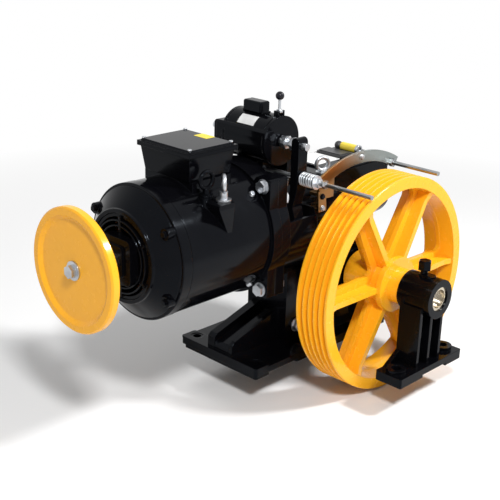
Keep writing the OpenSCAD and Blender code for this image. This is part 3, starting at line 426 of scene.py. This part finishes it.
def white_plate():
    """The blank plate on the gearbox's top cover, held by four rivets."""
    cover_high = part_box("top_cover")[1]
    dark_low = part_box("terminal_cover")[0]
    half_x, half_y = PLATE_SIZE[0] / 2, PLATE_SIZE[1] / 2
    centre = (dark_low.x - PLATE_GAP - half_x, cover_high.y - PLATE_GAP - half_y, cover_high.z)
    plate = rounded_sheet("white_plate", centre, PLATE_SIZE, PLATE_T, PLATE_CORNER, WHITE_PLATE)
    places = [(centre[0] + sx * (half_x - RIVET_INSET), centre[1] + sy * (half_y - RIVET_INSET))
              for sx in (-1, 1) for sy in (-1, 1)]
    top = centre[2] + PLATE_T
    heads = rivets("white_plate_rivets", places, top, RIVET_R, FINISHES["zinc_plate"])
    for piece in (plate, heads):
        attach(piece, "machine_frame")


def yellow_sticker():
    """The blank patch on the motor's terminal box."""
    low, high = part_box("terminal_box_lid")
    centre = ((low.x + high.x) / 2 + STICKER_SHIFT, 0, high.z)
    patch = rounded_sheet("lid_sticker", centre, STICKER_SIZE, STICKER_T, STICKER_CORNER,
                          YELLOW_PAPER)
    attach(patch, "machine_frame")


def tube(mesh, rings):
    """Faces between the rings of corners, and over both ends."""
    sides = len(rings[0])
    for first, second in zip(rings, rings[1:]):
        for side in range(sides):
            after = (side + 1) % sides
            mesh.faces.new((first[side], first[after], second[after], second[side]))
    mesh.faces.new(rings[0])
    mesh.faces.new(rings[-1])


def turned(mesh, centre, profile, sides):
    """A closed form round a vertical axis, from pairs of radius and height."""
    x, y = centre
    angles = [2 * math.pi * (step + 0.5) / sides for step in range(sides)]
    rings = []
    for radius, height in profile:
        rings.append([mesh.verts.new((x + radius * math.cos(a), y + radius * math.sin(a), height))
                      for a in angles])
    tube(mesh, rings)


def grease_plug():
    """The pedestal's hexagon plug on its neck and cast pad, in place of the plain cap."""
    low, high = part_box("grease_cap")
    barrel_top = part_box("pedestal")[1].z
    centre = ((low.x + high.x) / 2, (low.y + high.y) / 2 + PLUG_SHIFT)
    foot, crown = barrel_top + PLUG_LIFT, high.z - PLUG_TOP_GAP
    hexagon = ((PLUG_FOOT_R, foot), (PLUG_R, foot + PLUG_CHAMFERS[0]),
               (PLUG_R, crown - PLUG_CHAMFERS[1]), (PLUG_CROWN_R, crown))
    neck = ((NECK_R, barrel_top - NECK_SUNK), (NECK_R, foot + NECK_INTO_HEAD))
    mesh = bmesh.new()
    turned(mesh, centre, hexagon, 6)
    turned(mesh, centre, neck, 40)
    bmesh.ops.recalc_face_normals(mesh, faces=mesh.faces)
    finish = FINISHES["black_enamel"]
    plug = finished("grease_plug", mesh, finish)
    pad_size = (PAD_WIDTH, PAD_WIDTH + 2 * PLUG_SHIFT - PAD_SHORTER)
    pad_centre = (centre[0], centre[1] - PLUG_SHIFT / 2, barrel_top - PAD_SUNK)
    pad = rounded_sheet("grease_plug_pad", pad_centre, pad_size, PAD_SUNK + PAD_HEIGHT,
                        PAD_WIDTH / 2 - PAD_FLAT, finish)
    for piece in (plug, pad):
        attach(piece, "machine_frame")
    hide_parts("grease_cap")


def coil(mesh, centre, mid_radius, start, end):
    """A round wire wound along Y, its end coils closed up."""
    steps = SPRING_TURNS * STEPS_PER_TURN
    wire_r = SPRING_WIRE / 2
    span = abs(end - start) - SPRING_WIRE
    away = 1 if end > start else -1
    rings = []
    for step in range(steps + 1):
        share = step / steps
        turn = 2 * math.pi * SPRING_TURNS * share
        eased = share - SPRING_CLOSING * math.sin(2 * math.pi * share) / (2 * math.pi)
        along = start + away * (wire_r + span * eased)
        ring = []
        for side in range(WIRE_SIDES):
            tilt = 2 * math.pi * side / WIRE_SIDES
            radius = mid_radius + wire_r * math.cos(tilt)
            ring.append(mesh.verts.new((centre.x + radius * math.cos(turn),
                                        along + wire_r * math.sin(tilt),
                                        centre.z + radius * math.sin(turn))))
        rings.append(ring)
    tube(mesh, rings)
    bmesh.ops.recalc_face_normals(mesh, faces=mesh.faces)


def brake_spring(name, node):
    """A brake spring wound along Y between the ends of the CAD's spring, in its place."""
    low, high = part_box(node)
    centre = (low + high) / 2
    inner, outer = sorted((low.y, high.y), key=abs)
    mesh = bmesh.new()
    coil(mesh, centre, (high.x - low.x - SPRING_WIRE) / 2, inner, outer)
    spring = finished(name, mesh, FINISHES["zinc_plate"])
    smooth(spring)
    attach(spring, "machine_frame")
    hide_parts(node)
    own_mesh(spring)


def rounded_block(mesh, low, high, radius):
    """A box with every edge rounded, between two corners."""
    low, high = Vector(low), Vector(high)
    corners = bmesh.ops.create_cube(mesh, size=1)["verts"]
    bmesh.ops.scale(mesh, vec=high - low, verts=corners)
    bmesh.ops.translate(mesh, vec=(low + high) / 2, verts=corners)
    edges = {edge for corner in corners for edge in corner.link_edges}
    bmesh.ops.bevel(mesh, geom=list(edges), offset=radius, segments=ROUND_SEGMENTS, profile=0.5,
                    affect="EDGES")


def magnet_box():
    """The magnet's terminal box with soft edges and no gland, in place of the CAD's."""
    low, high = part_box("magnet_terminal_box")
    body_low = (low.x, low.y + BOX_INSETS[0], high.z - BOX_BODY)
    body_high = (high.x, high.y - BOX_INSETS[1], high.z)
    foot_low = (low.x + FOOT_INSETS[0], low.y, low.z)
    foot_high = (high.x - FOOT_INSETS[1], high.y, high.z - BOX_BODY + BOX_ROUND)
    mesh = bmesh.new()
    rounded_block(mesh, body_low, body_high, BOX_ROUND)
    rounded_block(mesh, foot_low, foot_high, FOOT_ROUND)
    box = finished("magnet_box", mesh, FINISHES["black_enamel"])
    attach(box, "machine_frame")
    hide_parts("magnet_terminal_box")


def bolt_head(name, at, finish):
    """A hexagon head on its washer, facing the pedestal."""
    hexagon = ((BOLT_R, 0), (BOLT_R, BOLT_H - BOLT_CHAMFER), (BOLT_R - BOLT_CHAMFER, BOLT_H))
    washer_r = BOLT_R + WASHER_RIM
    mesh = bmesh.new()
    turned(mesh, (0, 0), hexagon, 6)
    turned(mesh, (0, 0), ((washer_r, -WASHER_SUNK), (washer_r, WASHER_T)), 32)
    bmesh.ops.rotate(mesh, matrix=Matrix.Rotation(math.pi / 2, 3, "X"), verts=mesh.verts)
    bmesh.ops.translate(mesh, vec=at, verts=mesh.verts)
    bmesh.ops.recalc_face_normals(mesh, faces=mesh.faces)
    head = finished(name, mesh, FINISHES[finish])
    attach(head, "machine_frame")


def guard_bolts():
    """Two bolts on the guard's first leg, and one on the guard's crown."""
    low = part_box("guard_brackets")[0]
    for name, along, up, finish in LEG_BOLTS:
        bolt_head(name, (low.x + along, low.y, low.z + up), finish)
    sheave_low, sheave_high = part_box("sheave")
    guard_low, guard_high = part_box("rope_guard")
    crown = ((sheave_low.x + sheave_high.x) / 2, guard_low.y, guard_high.z - GUARD_BOLT_DOWN)
    bolt_head("guard_bolt", crown, "zinc_plate")


def magnet_label():
    """The blank label bent round the brake magnet, as a thin shell."""
    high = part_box("brake_magnet")[1]
    drum_low, drum_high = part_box("brake_drum")
    centre_x = (drum_low.x + drum_high.x) / 2
    radius = high.x - centre_x
    centre_z = high.z - radius
    first, last = LABEL_ARC
    mesh = bmesh.new()
    rows = []
    for step in range(LABEL_STEPS + 1):
        angle = math.radians(first + (last - first) * step / LABEL_STEPS)
        for depth in LABEL_DEPTHS:
            x = centre_x + (radius + depth) * math.cos(angle)
            z = centre_z + (radius + depth) * math.sin(angle)
            rows.append([mesh.verts.new((x, y, z)) for y in LABEL_Y])
    for step in range(LABEL_STEPS):
        inner, outer, next_inner, next_outer = rows[2 * step:2 * step + 4]
        mesh.faces.new((outer[0], outer[1], next_outer[1], next_outer[0]))
        mesh.faces.new((inner[0], next_inner[0], next_inner[1], inner[1]))
        for side in (0, 1):
            mesh.faces.new((inner[side], outer[side], next_outer[side], next_inner[side]))
    for inner, outer in (rows[0:2], rows[-2:]):
        mesh.faces.new((inner[0], inner[1], outer[1], outer[0]))
    bmesh.ops.recalc_face_normals(mesh, faces=mesh.faces)
    label = finished("magnet_label", mesh, WHITE_PLATE)
    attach(label, "machine_frame")


def camera():
    """The camera fitted to the photograph, looking from -X and -Y and a little down."""
    data = bpy.data.cameras.new("camera")
    data.lens = CAMERA_LENS
    data.sensor_width = SENSOR_WIDTH
    data.clip_end = CLIP_END
    view = bpy.data.objects.new("camera", data)
    bpy.context.scene.collection.objects.link(view)
    a, e, r = CAMERA_AZIMUTH, CAMERA_ELEVATION, CAMERA_ROLL
    back = Vector((math.sin(a) * math.cos(e), -math.cos(a) * math.cos(e), math.sin(e)))
    right = Vector((math.cos(a), math.sin(a), 0))
    up = back.cross(right)
    rolled_right = math.cos(r) * right + math.sin(r) * up
    rolled_up = -math.sin(r) * right + math.cos(r) * up
    axes = Matrix((rolled_right, rolled_up, back)).transposed()
    view.matrix_world = Matrix.Translation(CAMERA_AT) @ axes.to_4x4()
    bpy.context.scene.camera = view


def lamp(name, at, size, energy, mirrored=True):
    """An area lamp aimed at the object. Where it isn't mirrored, gloss doesn't show it."""
    data = bpy.data.lights.new(name, "AREA")
    data.shape = "RECTANGLE"
    data.size, data.size_y = size
    data.energy = energy
    light = bpy.data.objects.new(name, data)
    bpy.context.scene.collection.objects.link(light)
    light.location = at
    light.visible_glossy = mirrored
    light.rotation_euler = (LAMP_AIM - Vector(at)).to_track_quat("-Z", "Y").to_euler()


def backdrop_rays(nodes, links):
    """1 where the camera, a reflection or a clear surface meets the backdrop."""
    path = nodes.new("ShaderNodeLightPath")
    seen = path.outputs["Is Camera Ray"]
    for ray in ("Is Glossy Ray", "Is Transmission Ray"):
        either = nodes.new("ShaderNodeMath")
        either.operation = "MAXIMUM"
        links.new(seen, either.inputs[0])
        links.new(path.outputs[ray], either.inputs[1])
        seen = either.outputs[0]
    return seen


def world():
    """Grey light on the object, and plain white wherever the camera or a reflection meets it."""
    backdrop = bpy.data.worlds.new("studio")
    bpy.context.scene.world = backdrop
    backdrop.use_nodes = True
    nodes, links = backdrop.node_tree.nodes, backdrop.node_tree.links
    strength = remap(nodes, links, backdrop_rays(nodes, links), 0, 1, WORLD_STRENGTH, 1.0)
    links.new(strength, nodes["Background"].inputs["Strength"])
    nodes["Background"].inputs["Color"].default_value = (1, 1, 1, 1)


def floor():
    """A pale disc that keeps the shadow near the object and fades to white further out."""
    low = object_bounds()[0]
    mesh = bmesh.new()
    bmesh.ops.create_circle(mesh, cap_ends=True, segments=FLOOR_SIDES, radius=FLOOR_RADIUS)
    material, nodes, links, shader, coords = shader_tree("pale_floor")
    shader.inputs["Base Color"].default_value = (FLOOR_GREY, FLOOR_GREY, FLOOR_GREY, 1)
    shader.inputs["Roughness"].default_value = FLOOR_ROUGHNESS
    white = nodes.new("ShaderNodeEmission")
    distance = nodes.new("ShaderNodeVectorMath")
    distance.operation = "LENGTH"
    links.new(coords, distance.inputs[0])
    far = remap(nodes, links, distance.outputs["Value"], *FLOOR_FADE, 0.0, 1.0)
    amount = nodes.new("ShaderNodeMath")
    amount.operation = "MULTIPLY"
    links.new(far, amount.inputs[0])
    links.new(backdrop_rays(nodes, links), amount.inputs[1])
    blend = nodes.new("ShaderNodeMixShader")
    links.new(amount.outputs[0], blend.inputs[0])
    links.new(shader.outputs[0], blend.inputs[1])
    links.new(white.outputs[0], blend.inputs[2])
    links.new(blend.outputs[0], nodes["Material Output"].inputs["Surface"])
    ground = finished("floor", mesh, material)
    ground.location = (0, 0, low.z - FLOOR_GAP)
    ground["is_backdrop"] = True


dress_frame()
white_plate()
yellow_sticker()
magnet_label()
grease_plug()
magnet_box()
guard_bolts()
brake_spring("near_coil_spring", "near_spring")
brake_spring("far_coil_spring", "far_spring")
world()
floor()
camera()
lamp("key", (1.3, -2.0, 2.7), (0.4, 0.4), 92)
lamp("fill", (-1.7, -2.0, 2.7), (0.45, 0.45), 80)
lamp("rim", (0.6, 2.0, 2.4), (1.2, 1.2), 22, mirrored=False)
bpy.context.scene.view_settings.view_transform = "Standard"
